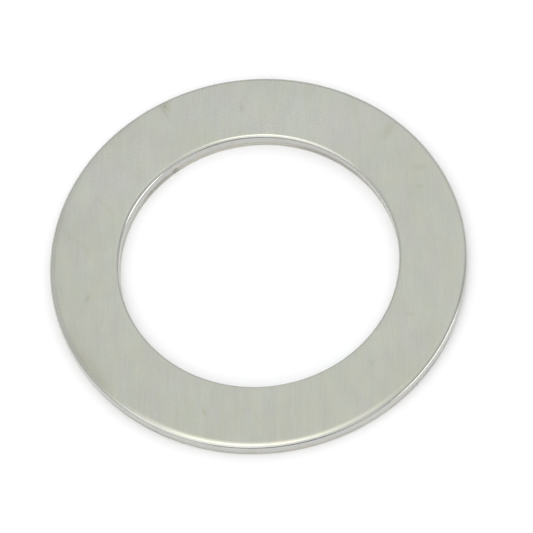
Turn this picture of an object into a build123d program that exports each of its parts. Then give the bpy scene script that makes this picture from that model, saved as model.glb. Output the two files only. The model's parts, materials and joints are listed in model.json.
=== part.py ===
"""Flat washer for a 1 inch bolt: one ring blanked from stainless sheet.

Millimetres. The origin is on the bore's axis at the underside, and +Z points up out of the top face.

One stroke of the press gives both walls of a blanked ring the same bands, from the top face down:
  roll-over   the sheet is drawn down before it shears, so the top edge is rounded
  land        the bright, straight wall that the shear leaves
  break zone  the lower wall, where the sheet tears and the wall leans away from the land
  edge break  the burr at the underside, tumbled off to a small chamfer
"""

from build123d import *

import os

# Driving dimensions.
OUTER_DIAMETER = 38.10
BORE_DIAMETER = 25.60
THICKNESS = 1.60

# Outer wall: a wide roll-over, then the land, then the break zone leaning inwards.
RIM_ROLL_WIDTH = 0.60
RIM_ROLL_DEPTH = 0.40
RIM_BREAK_HEIGHT = 0.60
RIM_BREAK_LEAN = 0.08
RIM_EDGE = 0.08

# Bore wall: a tighter roll-over, and a break zone leaning outwards, which widens the hole below the land.
BORE_ROLL_WIDTH = 0.28
BORE_ROLL_DEPTH = 0.18
BORE_BREAK_HEIGHT = 0.50
BORE_BREAK_LEAN = 0.05
BORE_EDGE = 0.06

rim_radius = OUTER_DIAMETER / 2
bore_radius = BORE_DIAMETER / 2
rim_foot_radius = rim_radius - RIM_BREAK_LEAN
bore_foot_radius = bore_radius + BORE_BREAK_LEAN

# The ring's half section, in the plane through the axis: x is the radius and y the height.
with BuildPart() as washer:
    with BuildSketch(Plane.XZ) as section:
        with BuildLine() as outline:
            # Underside, from the bore's chamfer out to the rim's.
            underside = Line(
                (bore_foot_radius + BORE_EDGE, 0),
                (rim_foot_radius - RIM_EDGE, 0),
            )
            # Up the outer wall.
            rim_wall = Polyline(
                underside @ 1,
                (rim_foot_radius, RIM_EDGE),
                (rim_radius, RIM_BREAK_HEIGHT),
                (rim_radius, THICKNESS - RIM_ROLL_DEPTH),
            )
            # Over the rim's roll-over, a quarter ellipse, tangent to the land and to the top face.
            rim_roll = EllipticalCenterArc(
                center=(rim_radius - RIM_ROLL_WIDTH, THICKNESS - RIM_ROLL_DEPTH),
                x_radius=RIM_ROLL_WIDTH,
                y_radius=RIM_ROLL_DEPTH,
                start_angle=0,
                arc_size=90,
            )
            # Across the top face, and over the bore's roll-over.
            bore_roll = EllipticalCenterArc(
                center=(bore_radius + BORE_ROLL_WIDTH, THICKNESS - BORE_ROLL_DEPTH),
                x_radius=BORE_ROLL_WIDTH,
                y_radius=BORE_ROLL_DEPTH,
                start_angle=90,
                arc_size=90,
            )
            Line(rim_roll @ 1, bore_roll @ 0)
            # Down the bore's wall.
            Polyline(
                bore_roll @ 1,
                (bore_radius, BORE_BREAK_HEIGHT),
                (bore_foot_radius, BORE_EDGE),
                underside @ 0,
            )
        make_face()
    revolve(axis=Axis.Z)

washer.part.label = "washer"

os.makedirs("parts", exist_ok=True)
export_step(washer.part, "parts/washer.step")
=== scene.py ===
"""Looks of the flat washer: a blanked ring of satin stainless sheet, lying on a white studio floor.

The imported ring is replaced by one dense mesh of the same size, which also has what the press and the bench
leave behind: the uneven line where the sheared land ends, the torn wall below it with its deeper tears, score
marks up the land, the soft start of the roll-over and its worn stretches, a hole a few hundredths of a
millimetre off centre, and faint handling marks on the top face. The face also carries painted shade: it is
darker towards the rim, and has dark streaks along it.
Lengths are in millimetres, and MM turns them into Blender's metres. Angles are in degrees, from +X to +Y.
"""
import json
import math

import bpy
import numpy as np
from mathutils import Matrix, Vector, noise


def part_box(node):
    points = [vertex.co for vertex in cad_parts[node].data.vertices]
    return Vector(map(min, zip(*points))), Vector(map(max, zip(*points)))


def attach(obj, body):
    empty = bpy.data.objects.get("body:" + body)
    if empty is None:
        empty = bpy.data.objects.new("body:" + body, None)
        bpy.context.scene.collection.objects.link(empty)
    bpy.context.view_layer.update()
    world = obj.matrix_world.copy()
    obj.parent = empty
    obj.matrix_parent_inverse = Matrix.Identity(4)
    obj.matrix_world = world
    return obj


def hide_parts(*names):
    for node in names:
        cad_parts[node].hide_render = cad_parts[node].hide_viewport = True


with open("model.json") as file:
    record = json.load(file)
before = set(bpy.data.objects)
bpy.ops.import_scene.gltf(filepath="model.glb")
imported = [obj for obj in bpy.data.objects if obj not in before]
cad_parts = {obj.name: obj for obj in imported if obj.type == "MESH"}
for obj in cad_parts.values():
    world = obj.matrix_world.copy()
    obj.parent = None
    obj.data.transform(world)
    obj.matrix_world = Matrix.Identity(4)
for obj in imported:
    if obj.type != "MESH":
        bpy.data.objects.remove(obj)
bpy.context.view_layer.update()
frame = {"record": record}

MM = 0.001
NODE = "washer"

# The ring's size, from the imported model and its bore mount.
low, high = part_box(NODE)
bore_mount = next(m for m in frame["record"]["mounts"] if m["name"] == "bore")
land_middle = bore_mount["pos_m"][2] / MM
land_length = bore_mount["dims"]["length_mm"]
OUTER = min(high.x, -low.x, high.y, -low.y) / MM
BORE = bore_mount["dims"]["r_mm"]
THICK = high.z / MM

# What the press leaves on each wall, from the face down. The roll-over is a quarter ellipse with a shallow
# lead into the face, and a shape above 1 flattens its middle. The land is sheared smooth. Below it the metal
# tore, and leans away.
RIM_WALL = {
    "roll_width": 0.60,
    "roll_depth": 0.40,
    "roll_shape": 1.0,
    "lead_width": 1.2,
    "land_foot": 0.60,
    "lean": 0.13,
    "edge": 0.05,
    # Deeper tears: compass, half width in degrees, height over the land's usual foot, how dark (up to 1). The
    # darkness of the tear at compass 322 is partly painted shade.
    "tears": ((228, 13, 0.08, 0.35), (322, 17, 0.14, 0.45)),
    # Worn stretches of the roll-over: compass, half width in degrees, how much bigger it is there.
    "worn": (),
}
BORE_WALL = {
    "roll_width": 0.22,
    "roll_depth": THICK - (land_middle + land_length / 2),
    "roll_shape": 1.4,
    "lead_width": 0.5,
    "land_foot": land_middle - land_length / 2,
    "lean": 0.0,
    "edge": 0.02,
    "tears": ((50, 18, 0.12, 0.45), (120.0, 1.6, 0.20, 0.75), (130, 9, 0.10, 0.50)),
    "worn": ((141, 15, 0.6), (88, 24, 0.10)),
}
LEAD_DEPTH = 0.018
LEAD_CURVE = 3  # the power by which the lead fades into the face
LAND_STEP = 0.0035  # how far the land stands back from the full radius, which leaves room for its scores
TORN_STEP = 0.013
TORN_CURVE = 1.2  # the power by which the torn wall leans away
EDGE_TORN = 0.6  # how torn the edge break looks, where 1 is fully torn

# Unevenness: how far it goes either way, and the length of its largest swells.
FOOT_SWELL = (0.05, 2.2)
FOOT_RIPPLE = (0.025, 0.5)
TEAR_RAGGED = (0.3, 0.4)  # the first is a share of the tear's height
DEPTH_VARIES = (0.05, 9.0)  # the first is a share of the roll-over's depth
WIDTH_VARIES = (0.05, 7.0)  # the first is a share of the roll-over's width
LEAD_VARIES = (0.4, 6.0)  # the first is a share of the lead's depth
TORN_ROUGH = (0.014, 0.32)
LAND_SCORES = (0.8 * LAND_STEP, 0.30)
SCORES_FADE = 0.3  # how much shallower the scores are at the top of the land
FACE_SAG = (0.012, 14.0)  # here the first is how far the faces sink between their swells
RIM_SEED, BORE_SEED, FACE_SEED = 1, 21, 40
SEED_STEP = (17.3, 5.1, 9.7)  # how far one seed's noise lies from the next one's

# The punch went in a little off centre and leaning: how far the hole stands off the ring's axis in X and Y.
HOLE_OFF_AT_FACE = (0.03, -0.05)
HOLE_OFF_AT_FOOT = (0.10, -0.08)
HOLE_REACH = 1.0  # this far into the ring, nothing of that is felt

AROUND = 800  # stations round the ring
EDGE_STATIONS = 4
TORN_STATIONS = 12
LAND_STATIONS = 8
ROLL_STATIONS = 18
LEAD_STATIONS = 7
TOP_STATIONS = 12
UNDER_STATIONS = 8

compass = np.linspace(0, 2 * math.pi, AROUND, endpoint=False)
outward = np.stack([np.cos(compass), np.sin(compass)], -1)


# ---------------------------------------------------------------- mesh


def wander(points, swells, seed, octaves=3):
    """Smooth noise at each point. swells is how far it goes either way, and its largest swells' length."""
    reach, size = swells
    shift = seed * Vector(SEED_STEP)
    flat = points.reshape(-1, 3) / size
    values = [noise.fractal(Vector(p) + shift, 1.0, 2.0, octaves) for p in flat]
    return reach * np.array(values).reshape(points.shape[:-1])


def on_circle(radius, height):
    """The point at each compass station, at one radius and at a height of its own."""
    heights = np.broadcast_to(height, (AROUND,))
    return np.concatenate([outward * radius, heights[:, None]], -1)


def stretch(middle, half_width):
    """1 within a half width of one compass angle, falling softly to 0 outside it."""
    return np.exp(-(((np.degrees(compass) - middle) / half_width) ** 4))


def deep_tears(tears):
    """How much higher, and how much darker, the torn wall is at each compass station. Part of that darkness,
    on the rim at compass 322, is painted shade.
    """
    rise, dark = np.zeros(AROUND), np.zeros(AROUND)
    for middle, half_width, height, darkness in tears:
        share = stretch(middle, half_width)
        rise += height * share
        dark = np.maximum(dark, darkness * share)
    return rise, dark


def wall(radius, marks, seed):
    """Stations of one wall, from the underside up to where the face is flat.

    Each station is (inset, height, land, torn): how far it lies inside the full radius and over the floor, at
    each compass station, and how much of it is land or torn metal. Torn metal goes from 1 up to 2 where the
    tear is dark.
    """
    stations = []
    circle = on_circle(radius, 0.0)
    foot = marks["land_foot"] + wander(circle, FOOT_SWELL, seed) + wander(circle, FOOT_RIPPLE, seed + 1)
    rise, dark = deep_tears(marks["tears"])
    foot = foot + rise * (1 + wander(circle, TEAR_RAGGED, seed + 7))
    worn = 1 + sum(size * stretch(middle, half_width) for middle, half_width, size in marks["worn"])
    depth = marks["roll_depth"] * worn * (1 + wander(circle, DEPTH_VARIES, seed + 2))
    width = marks["roll_width"] * worn * (1 + wander(circle, WIDTH_VARIES, seed + 3))
    land_top = THICK - depth
    edge = marks["edge"]

    # Edge break: a small quarter round between the underside and the torn wall.
    for a in np.linspace(0, math.pi / 2, EDGE_STATIONS):
        inset = marks["lean"] + edge * (1 - math.sin(a))
        height = edge * (1 - math.cos(a))
        stations.append((np.full(AROUND, inset), np.full(AROUND, height), 0.0, EDGE_TORN))

    # Torn wall: leans back towards the underside, and is rough away from its two ends.
    for share in np.linspace(0, 1, TORN_STATIONS + 1)[1:]:
        height = edge + share * (foot - edge)
        rough = wander(on_circle(radius, height), TORN_ROUGH, seed + 4, 4) * math.sin(math.pi * share) ** 0.5
        inset = marks["lean"] * (1 - share) ** TORN_CURVE + TORN_STEP + rough
        stations.append((np.maximum(inset, 0.0), height, 0.0, 1.0 + dark))

    # Land: a small step out from the torn wall, then straight up, with scores that fade towards the top.
    scores = wander(circle, LAND_SCORES, seed + 5, 2)
    land_foot = foot + TORN_STEP
    for share in np.linspace(0, 1, LAND_STATIONS):
        height = land_foot + share * (land_top - land_foot)
        inset = LAND_STEP + scores * (1 - SCORES_FADE * share)
        stations.append((np.maximum(inset, 0.0), height, 1.0, 0.0))

    # Roll-over: the quarter ellipse, then its lead into the face.
    lead = marks["lead_width"]
    shape = marks["roll_shape"]
    sag = LEAD_DEPTH * (1 + wander(circle, LEAD_VARIES, seed + 6))
    for a in np.linspace(0, math.pi / 2, ROLL_STATIONS + 1)[1:]:
        inset = width * (1 - math.cos(a) ** shape)
        drop = depth * (1 - math.sin(a) ** shape) + sag * (1 - inset / (width + lead)) ** LEAD_CURVE
        stations.append((inset, THICK - drop, math.cos(a) ** 2, 0.0))
    for share in np.linspace(0, 1, LEAD_STATIONS + 1)[1:]:
        inset = width + share * lead
        drop = sag * (1 - inset / (width + lead)) ** LEAD_CURVE
        stations.append((inset, THICK - drop, 0.0, 0.0))
    return stations


def flat_between(start, end, count):
    """Evenly spaced stations between two others. All are (radius, height, land, torn)."""
    stations = []
    for share in np.linspace(0, 1, count + 2)[1:-1]:
        radius = start[0] + share * (end[0] - start[0])
        height = start[1] + share * (end[1] - start[1])
        stations.append((radius, height, 0.0, 0.0))
    return stations


def ring_mesh():
    """One closed mesh: up the rim, in over the top face, down the bore, and back out along the underside."""
    rim = [(OUTER - inset, *rest) for inset, *rest in wall(OUTER, RIM_WALL, RIM_SEED)]
    bore = [(BORE + inset, *rest) for inset, *rest in reversed(wall(BORE, BORE_WALL, BORE_SEED))]
    top = flat_between(rim[-1], bore[0], TOP_STATIONS)
    under = flat_between(bore[-1], rim[0], UNDER_STATIONS)
    stations = rim + top + bore + under
    count = len(stations)

    radii = np.stack([s[0] for s in stations], -1)
    heights = np.stack([s[1] for s in stations], -1)
    flat = outward[:, None, :] * radii[..., None]
    near_hole = np.clip((BORE + HOLE_REACH - radii) / HOLE_REACH, 0, 1)[..., None]
    up = (heights / THICK)[..., None]
    flat = flat + near_hole * (up * np.array(HOLE_OFF_AT_FACE) + (1 - up) * np.array(HOLE_OFF_AT_FOOT))
    sag, sag_size = FACE_SAG
    on_floor = np.concatenate([flat, 0 * heights[..., None]], -1)
    swell = 0.5 + wander(on_floor, (0.5, sag_size), FACE_SEED, octaves=2)
    heights = heights - sag * np.clip(swell, 0, 1) * heights / THICK
    points = np.concatenate([flat, heights[..., None]], -1)

    quads = []
    for here in range(AROUND):
        there = (here + 1) % AROUND
        for s in range(count):
            after = (s + 1) % count
            quads.append((here * count + s, there * count + s, there * count + after, here * count + after))
    mesh = bpy.data.meshes.new("washer_ring")
    mesh.from_pydata((points.reshape(-1, 3) * MM).tolist(), [], quads)
    for name, column in (("land", 2), ("torn", 3)):
        shares = np.stack([np.broadcast_to(s[column], (AROUND,)) for s in stations], -1).ravel()
        mesh.attributes.new(name, "FLOAT", "POINT").data.foreach_set("value", shares.astype(np.float32))
    mesh.polygons.foreach_set("use_smooth", [True] * len(mesh.polygons))
    mesh.validate()
    mesh.update()
    return mesh


# ------------------------------------------------------------ materials


NOISE_SPREAD = 0.25  # a noise texture's values keep about this near to a half


class Graph:
    """Adds nodes to one material or world, and joins them. A value is a number or another node's socket."""

    def __init__(self, tree):
        self.tree = tree
        tree.nodes.clear()

    def node(self, kind, settings=None, **inputs):
        made = self.tree.nodes.new(kind)
        for key, value in (settings or {}).items():
            setattr(made, key, value)
        for key, value in inputs.items():
            self.feed(made.inputs[key.replace("_", " ")], value)
        return made

    def feed(self, socket, value):
        if isinstance(value, bpy.types.NodeSocket):
            self.tree.links.new(value, socket)
        else:
            socket.default_value = value

    def math(self, operation, *values, clamp=False):
        made = self.node("ShaderNodeMath", {"operation": operation, "use_clamp": clamp})
        for socket, value in zip(made.inputs, values):
            self.feed(socket, value)
        return made.outputs[0]

    def add(self, first, *more):
        for value in more:
            first = self.math("ADD", first, value)
        return first

    def times(self, first, *more):
        for value in more:
            first = self.math("MULTIPLY", first, value)
        return first

    def vector(self, operation, *values):
        made = self.node("ShaderNodeVectorMath", {"operation": operation})
        for socket, value in zip(made.inputs, values):
            self.feed(socket, value)
        return made.outputs["Value" if operation in ("DOT_PRODUCT", "LENGTH") else "Vector"]

    def step(self, value, low, high, low_to=0.0, high_to=1.0):
        """low_to below low, high_to above high, and a smooth curve between them."""
        made = self.node("ShaderNodeMapRange", {"interpolation_type": "SMOOTHSTEP"})
        for socket, v in zip(made.inputs, (value, low, high, low_to, high_to)):
            self.feed(socket, v)
        return made.outputs[0]

    def about_zero(self, noise_value, reach):
        """A noise value, which keeps near a half, brought to about -reach to reach."""
        return self.times(self.math("SUBTRACT", noise_value, 0.5), reach / NOISE_SPREAD)

    def mix(self, share, first, second):
        """Two colours mixed. The node's inputs 6 and 7 are its colours, and output 2 is the mixed one."""
        made = self.node("ShaderNodeMix", {"data_type": "RGBA"})
        self.feed(made.inputs[0], share)
        self.feed(made.inputs[6], first)
        self.feed(made.inputs[7], second)
        return made.outputs[2]

    def scaled(self, colour, factor):
        joined = self.node("ShaderNodeCombineXYZ", None, X=factor, Y=factor, Z=factor).outputs[0]
        return self.vector("MULTIPLY", colour, joined)

    def noise(self, place, swells, detail, roughness):
        """Noise at a place. swells is how many there are per unit along each axis."""
        settings = {"Scale": 1.0, "Detail": detail, "Roughness": roughness}
        stretched = self.vector("MULTIPLY", place, swells)
        return self.node("ShaderNodeTexNoise", None, Vector=stretched, **settings).outputs[0]

    def attribute(self, name):
        return self.node("ShaderNodeAttribute", {"attribute_name": name}).outputs["Fac"]

    def principled(self, **inputs):
        """The surface of a material: one principled shader."""
        shader = self.node("ShaderNodeBsdfPrincipled", None, **inputs)
        self.node("ShaderNodeOutputMaterial", None, Surface=shader.outputs[0])


STEEL_COOL = (0.483, 0.492, 0.437, 1)
STEEL_WARM = (0.491, 0.499, 0.425, 1)
STEEL_LAND = (0.570, 0.578, 0.555, 1)
STEEL_LAND_WARM = (0.565, 0.550, 0.505, 1)
STEEL_TORN = (0.61, 0.590, 0.530, 1)
# STEEL_DEEP is the dark of deep tears. On the rim at compass 322 it is partly painted shade.
STEEL_DEEP = (0.26, 0.255, 0.24, 1)
FACE_ROUGHNESS = 0.27
LAND_ROUGHNESS = 0.14
TORN_ROUGHER = 0.16
MARKS_ROUGHER = 0.8  # for each unit of their darkening

# The steel's noises: swells per millimetre along each axis, octaves, and roughness. These follow the rolling
# grain, which is drawn out along the second axis.
GRAIN_TURN = -7.4  # how far the grain is turned from +Y
GRAIN_NOISES = {
    "fine": ((6.0, 0.35, 1.0), 4.0, 0.6),
    "broad": ((0.9, 0.10, 1.0), 3.0, 0.55),
    "mottle": ((0.8, 0.45, 1.0), 3.0, 0.55),
    "hue": ((0.715, 0.286, 1.3), 3.0, 0.6),
    "blush": ((0.5, 0.3, 1.0), 3.0, 0.6),
}
# And these don't. The score hardly changes with height, so it runs up the land.
PLAIN_NOISES = {
    "cloud": ((0.16, 0.16, 0.16), 2.0, 0.5),
    "speck": ((5.0, 5.0, 5.0), 4.0, 0.65),
    "score": ((8.0, 8.0, 0.4), 3.0, 0.6),
    "blotch": ((0.9, 0.9, 1.8), 3.0, 0.6),
    "tear": ((7.0, 7.0, 7.0), 4.0, 0.7),
}
# How far each noise lightens or darkens the steel everywhere, and on the land alone.
TONES = {"fine": 0.026, "broad": 0.017, "mottle": 0.024, "cloud": 0.017, "speck": 0.020}
LAND_TONES = {"score": 0.03, "blotch": 0.05}
# Painted shade: the face is made darker towards the rim.
RIM_PAINTED_SHADE = 0.018  # how much darker the face is at the rim than at the bore
BLUSH_TINT = (1.0, -1.0, 0.3)  # faint patches that lean from green to violet
BLUSH = 0.013
# Steps in the noises: their values at the low and high end, and then what each end gives.
HUE_STEP = (0.36, 0.64)
BLOTCH_STEP = (0.4, 0.65)
TORN_COVER = (0.35, 0.65, 0.5, 1.0)
DEEP_COVER = (0.35, 0.60, 0.5, 1.0)
TORN_DULL = (0.3, 0.7, 0.6 * TORN_ROUGHER, 1.4 * TORN_ROUGHER)
# How far the noises change the roughness, and how high they stand in the bump.
FACE_ROUGH_VARIES = {"fine": 0.03, "mottle": 0.02}
LAND_ROUGH_VARIES = {"score": 0.05}
FACE_RELIEF = {"fine": 0.6, "mottle": 0.5, "speck": 0.12}
LAND_RELIEF = 1.5
TORN_RELIEF = 6.0
RELIEF_STRENGTH = 0.6
RELIEF_HEIGHT = 0.000002  # metres

# Faint handling marks on the top face, and painted shade along the rim. Each is a soft streak, spot or cloud.
# A darkening below 0 is lighter.
FACE_MARKS_AND_PAINTED_SHADE = (
    # compass, share of the way from bore to rim, length, width, turn from the radius, darkening
    (110.5, 0.91, 2.4, 1.50, 0, 0.18),
    (110.5, 0.88, 0.9, 0.50, 20, 0.17),
    (111.5, 0.76, 3.0, 0.38, 4, 0.11),
    (124, 0.96, 4.0, 0.90, 90, 0.06),
    # The next three are painted shade: dark streaks where the rim's roll-over would mirror dark surroundings.
    (208, 0.95, 15.0, 2.00, 90, 0.13),
    (190, 0.80, 16.0, 4.60, 90, 0.03),
    (312, 0.97, 17.0, 1.70, 90, 0.11),
    (75, 0.35, 28.0, 8.00, 90, -0.08),
    (134, 0.50, 15.0, 9.00, 90, -0.055),
    (290, 0.60, 30.0, 9.00, 90, 0.020),
    (40, 0.78, 2.6, 1.20, 15, 0.12),
    (24, 0.72, 2.2, 0.90, -20, 0.10),
    (165, 0.60, 4.8, 0.90, -40, 0.06),
    (18, 0.58, 1.0, 0.60, -30, 0.13),
    (88, 0.50, 1.2, 0.50, 5, 0.16),
    (185, 0.49, 1.1, 0.45, 40, 0.16),
    (150, 0.34, 3.6, 0.60, -25, 0.09),
    (245, 0.52, 1.2, 0.45, 35, 0.15),
    (306, 0.34, 0.9, 0.50, -20, 0.10),
    (329, 0.36, 1.0, 0.50, 30, 0.10),
)
MARK_TINT = (0.92, 0.92, 1.35)  # how much of the darkening each colour takes
MARK_DEPTH = 1.0  # how far a mark reaches below the face
MARK_FADE = (0.2, 1.2)  # a mark fades out between these, where 1 is its full length or width
MARK_BREAKUP = (0.38, 0.6, 0.35, 1.0)  # the step in the specks that breaks the marks up


def handling_marks_and_painted_shade(g, millimetres, breakup):
    """How much darker each handling mark and each streak of painted shade makes the face, all together."""
    total = 0.0
    for angle, across, length, width, turn, dark in FACE_MARKS_AND_PAINTED_SHADE:
        radius = BORE + across * (OUTER - BORE)
        middle = (radius * math.cos(math.radians(angle)), radius * math.sin(math.radians(angle)), THICK)
        mapping = g.node(
            "ShaderNodeMapping",
            {"vector_type": "TEXTURE"},
            Vector=millimetres,
            Location=middle,
            Rotation=(0, 0, math.radians(angle + turn)),
            Scale=(length / 2, width / 2, MARK_DEPTH),
        )
        from_middle = g.vector("LENGTH", mapping.outputs[0])
        total = g.add(total, g.times(g.step(from_middle, *MARK_FADE, 1.0, 0.0), dark))
    return g.times(total, g.step(breakup, *MARK_BREAKUP))


def steel_noises(g, millimetres):
    """Every noise of the steel, by name."""
    turn = (0, 0, math.radians(-GRAIN_TURN))
    turned = g.node("ShaderNodeMapping", None, Vector=millimetres, Rotation=turn).outputs[0]
    noises = {name: g.noise(turned, *settings) for name, settings in GRAIN_NOISES.items()}
    noises.update({name: g.noise(millimetres, *settings) for name, settings in PLAIN_NOISES.items()})
    return noises


def swings(g, noises, reaches):
    """Some of the noises, each brought to its own reach about zero, and added up."""
    return g.add(*(g.about_zero(noises[name], reach) for name, reach in reaches.items()))


def steel():
    """Satin cold-rolled stainless: straight grain, soft mottle, handling marks, painted shade near the rim,
    scored land, torn wall.
    """
    mat = bpy.data.materials.new("satin_stainless")
    mat.use_nodes = True
    g = Graph(mat.node_tree)
    place = g.node("ShaderNodeTexCoord").outputs["Object"]
    millimetres = g.vector("MULTIPLY", place, (1 / MM, 1 / MM, 1 / MM))
    noises = steel_noises(g, millimetres)
    land, torn_depth = g.attribute("land"), g.attribute("torn")
    torn, deep = g.math("MINIMUM", torn_depth, 1.0), g.math("SUBTRACT", torn_depth, 1.0, clamp=True)
    face = g.math("SUBTRACT", 1.0, g.math("ADD", land, torn, clamp=True))
    # marks holds the handling marks and the painted shade along the rim.
    marks = g.times(handling_marks_and_painted_shade(g, millimetres, noises["speck"]), face)

    # Tone: lighter and darker by the noises, and painted shade that darkens the face towards the rim.
    from_axis = g.vector("LENGTH", g.vector("MULTIPLY", millimetres, (1, 1, 0)))
    tone = g.add(swings(g, noises, TONES), g.step(from_axis, BORE, OUTER, 0.0, -RIM_PAINTED_SHADE))
    tone = g.add(1.0, tone, g.times(land, swings(g, noises, LAND_TONES)))

    # Colour: the face, with the land and the torn wall over it.
    base = g.mix(g.step(noises["hue"], *HUE_STEP), STEEL_COOL, STEEL_WARM)
    blush = g.scaled(BLUSH_TINT, g.about_zero(noises["blush"], BLUSH))
    base = g.vector("MULTIPLY", base, g.vector("ADD", (1, 1, 1), blush))
    base = g.mix(land, base, g.mix(g.step(noises["blotch"], *BLOTCH_STEP), STEEL_LAND, STEEL_LAND_WARM))
    base = g.mix(g.times(torn, g.step(noises["tear"], *TORN_COVER)), base, STEEL_TORN)
    base = g.mix(g.times(deep, g.step(noises["tear"], *DEEP_COVER)), base, STEEL_DEEP)
    base = g.scaled(base, tone)
    # The handling marks and the painted shade along the rim darken the colour.
    base = g.vector("MULTIPLY", base, g.vector("SUBTRACT", (1, 1, 1), g.scaled(MARK_TINT, marks)))

    # Roughness: satin on the face, brighter on the land, dull where the metal tore.
    face_rough = g.add(FACE_ROUGHNESS, swings(g, noises, FACE_ROUGH_VARIES), g.times(marks, MARKS_ROUGHER))
    land_rough = g.add(LAND_ROUGHNESS, swings(g, noises, LAND_ROUGH_VARIES))
    torn_rough = g.step(noises["tear"], *TORN_DULL)
    rough = g.add(g.times(face_rough, g.math("SUBTRACT", 1.0, land)), g.times(land, land_rough))
    rough = g.add(rough, g.times(torn, torn_rough))

    # Relief: the grain, the scores and the tear, as bump.
    face_height = g.add(*(g.times(noises[name], rise) for name, rise in FACE_RELIEF.items()))
    land_height = g.times(land, noises["score"], LAND_RELIEF)
    torn_height = g.times(torn, noises["tear"], TORN_RELIEF)
    height = g.add(g.times(face, face_height), land_height, torn_height)
    settings = {"Strength": RELIEF_STRENGTH, "Distance": RELIEF_HEIGHT}
    normal = g.node("ShaderNodeBump", None, Height=height, **settings).outputs[0]
    g.principled(Base_Color=base, Roughness=rough, Metallic=1.0, Normal=normal)
    return mat


ring = bpy.data.objects.new("washer_ring", ring_mesh())
bpy.context.scene.collection.objects.link(ring)
ring.data.materials.append(steel())
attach(ring, "root")
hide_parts(NODE)


# --------------------------------------------------------------- studio

FLOOR_RADIUS = 6.0  # metres, wide enough that no view reaches its edge
FLOOR_CORNERS = 96
FLOOR_DROP = 0.00001  # metres
FLOOR_WHITE = (0.95, 0.95, 0.955, 1)
FLOOR_ROUGHNESS = 0.9
FLOOR_SPECULAR = 0.1


def floor():
    """A matt white floor."""
    mesh = bpy.data.meshes.new("studio_floor")
    turns = [2 * math.pi * i / FLOOR_CORNERS for i in range(FLOOR_CORNERS)]
    corners = [(FLOOR_RADIUS * math.cos(a), FLOOR_RADIUS * math.sin(a), -FLOOR_DROP) for a in turns]
    mesh.from_pydata(corners, [], [tuple(range(FLOOR_CORNERS))])
    obj = bpy.data.objects.new("studio_floor", mesh)
    bpy.context.scene.collection.objects.link(obj)
    mat = bpy.data.materials.new("white_floor")
    mat.use_nodes = True
    g = Graph(mat.node_tree)
    g.principled(Base_Color=FLOOR_WHITE, Roughness=FLOOR_ROUGHNESS, Specular_IOR_Level=FLOOR_SPECULAR)
    mesh.materials.append(mat)


# The studio's light comes from soft panels round the ring. A flag is a dark card, so its light is below 0.
# The room adds its own light, which falls off towards the horizon. 1 is white.
WHITE = (1.0, 1.0, 1.0)
WARM = (1.07, 1.0, 0.80)
PANELS = (
    # name, compass, elevation, width, height, fade, colour, light
    ("overhead scrim", -135, 82, 20, 26, 13, WARM, 0.56),
    ("front key", -109, 70, 24, 7, 11, WHITE, 1.15),
    ("left fill", -128, 38, 40, 22, 18, WHITE, 0.52),
    ("right strip", -20, 12, 32, 6, 7, WHITE, 2.60),
    ("right flag", -12, 36, 46, 16, 10, WHITE, -0.38),
    ("back left flag", 150, 55, 40, 24, 14, WHITE, -0.20),
    ("front flag", -93, 8, 42, 14, 12, WHITE, -0.47),
)
PANEL_ENDS, PANEL_FULL = 0.05, 0.2  # cosines off a panel's middle, between which its far sides fade in
ROOM_COLOUR = (0.99, 1.0, 1.02)
ROOM_HORIZON, ROOM_HIGH = 0.60, 1.08
ROOM_HIGH_FROM = 0.72  # the height, on a unit dome, from which the room is fully bright


def panel_share(g, direction, angle, elevation, width, height, fade):
    """How much of a panel, from 0 to 1, lies in a direction."""
    a, e = math.radians(angle), math.radians(elevation)
    ahead = Vector((math.cos(e) * math.cos(a), math.cos(e) * math.sin(a), math.sin(e)))
    sideways = Vector((-math.sin(a), math.cos(a), 0))
    along = g.vector("DOT_PRODUCT", direction, ahead)
    share = g.step(along, PANEL_ENDS, PANEL_FULL)
    for axis, size in ((sideways, width), (ahead.cross(sideways), height)):
        aside = g.math("ABSOLUTE", g.vector("DOT_PRODUCT", direction, axis))
        slope = g.math("DIVIDE", aside, g.math("MAXIMUM", along, PANEL_ENDS))
        inner = math.tan(math.radians(size / 2))
        outer = math.tan(math.radians(size / 2 + fade))
        share = g.times(share, g.step(slope, inner, outer, 1.0, 0.0))
    return share


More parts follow.
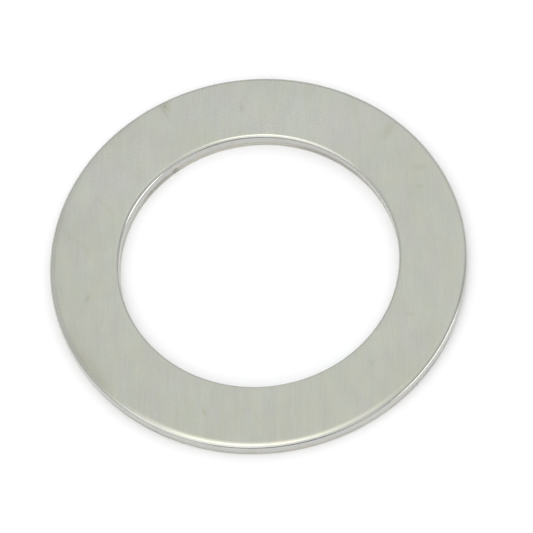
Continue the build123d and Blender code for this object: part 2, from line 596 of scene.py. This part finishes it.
def studio_light():
    """The dome that lights the ring. The camera sees plain white in its place."""
    made = bpy.data.worlds.new("studio")
    bpy.context.scene.world = made
    made.use_nodes = True
    g = Graph(made.node_tree)
    direction = g.node("ShaderNodeTexCoord").outputs["Generated"]
    rise = g.node("ShaderNodeSeparateXYZ", None, Vector=direction).outputs["Z"]
    light = g.scaled(ROOM_COLOUR, g.step(rise, 0.0, ROOM_HIGH_FROM, ROOM_HORIZON, ROOM_HIGH))
    for _, angle, elevation, width, height, fade, colour, strength in PANELS:
        share = panel_share(g, direction, angle, elevation, width, height, fade)
        light = g.vector("ADD", light, g.scaled(colour, g.times(share, strength)))
    light = g.vector("MAXIMUM", light, (0, 0, 0))
    dome = g.node("ShaderNodeBackground", None, Color=light, Strength=1.0)
    white = g.node("ShaderNodeBackground", None, Color=(1, 1, 1, 1), Strength=1.0)
    to_camera = g.node("ShaderNodeLightPath").outputs["Is Camera Ray"]
    seen = g.node("ShaderNodeMixShader", None, Fac=to_camera)
    g.feed(seen.inputs[1], dome.outputs[0])
    g.feed(seen.inputs[2], white.outputs[0])
    g.node("ShaderNodeOutputWorld", None, Surface=seen.outputs[0])


CAMERA_AWAY = 30  # in outer radii
CAMERA_ELEVATION = 62.14
CAMERA_ROLL = 8.31
CAMERA_YAW = -0.068
LENS = 423.2
SENSOR = 36
CLIP = (0.01, 20)  # metres


def camera():
    """Seen from in front and above through a long lens, rolled a little."""
    elevation = math.radians(CAMERA_ELEVATION)
    back = Vector((0, -math.cos(elevation), math.sin(elevation)))
    right = Vector((1, 0, 0))
    up = back.cross(right)
    axes = Matrix((right, up, back)).transposed()
    axes = Matrix.Rotation(math.radians(CAMERA_YAW), 3, up) @ axes
    axes = Matrix.Rotation(math.radians(CAMERA_ROLL), 3, -axes.col[2]) @ axes
    data = bpy.data.cameras.new("camera")
    data.sensor_width, data.lens = SENSOR, LENS
    data.clip_start, data.clip_end = CLIP
    obj = bpy.data.objects.new("camera", data)
    bpy.context.scene.collection.objects.link(obj)
    obj.location = back * CAMERA_AWAY * OUTER * MM
    obj.rotation_mode = "QUATERNION"
    obj.rotation_quaternion = axes.to_quaternion()
    bpy.context.scene.camera = obj


floor()
studio_light()
camera()
bpy.context.scene.view_settings.view_transform = "Standard"
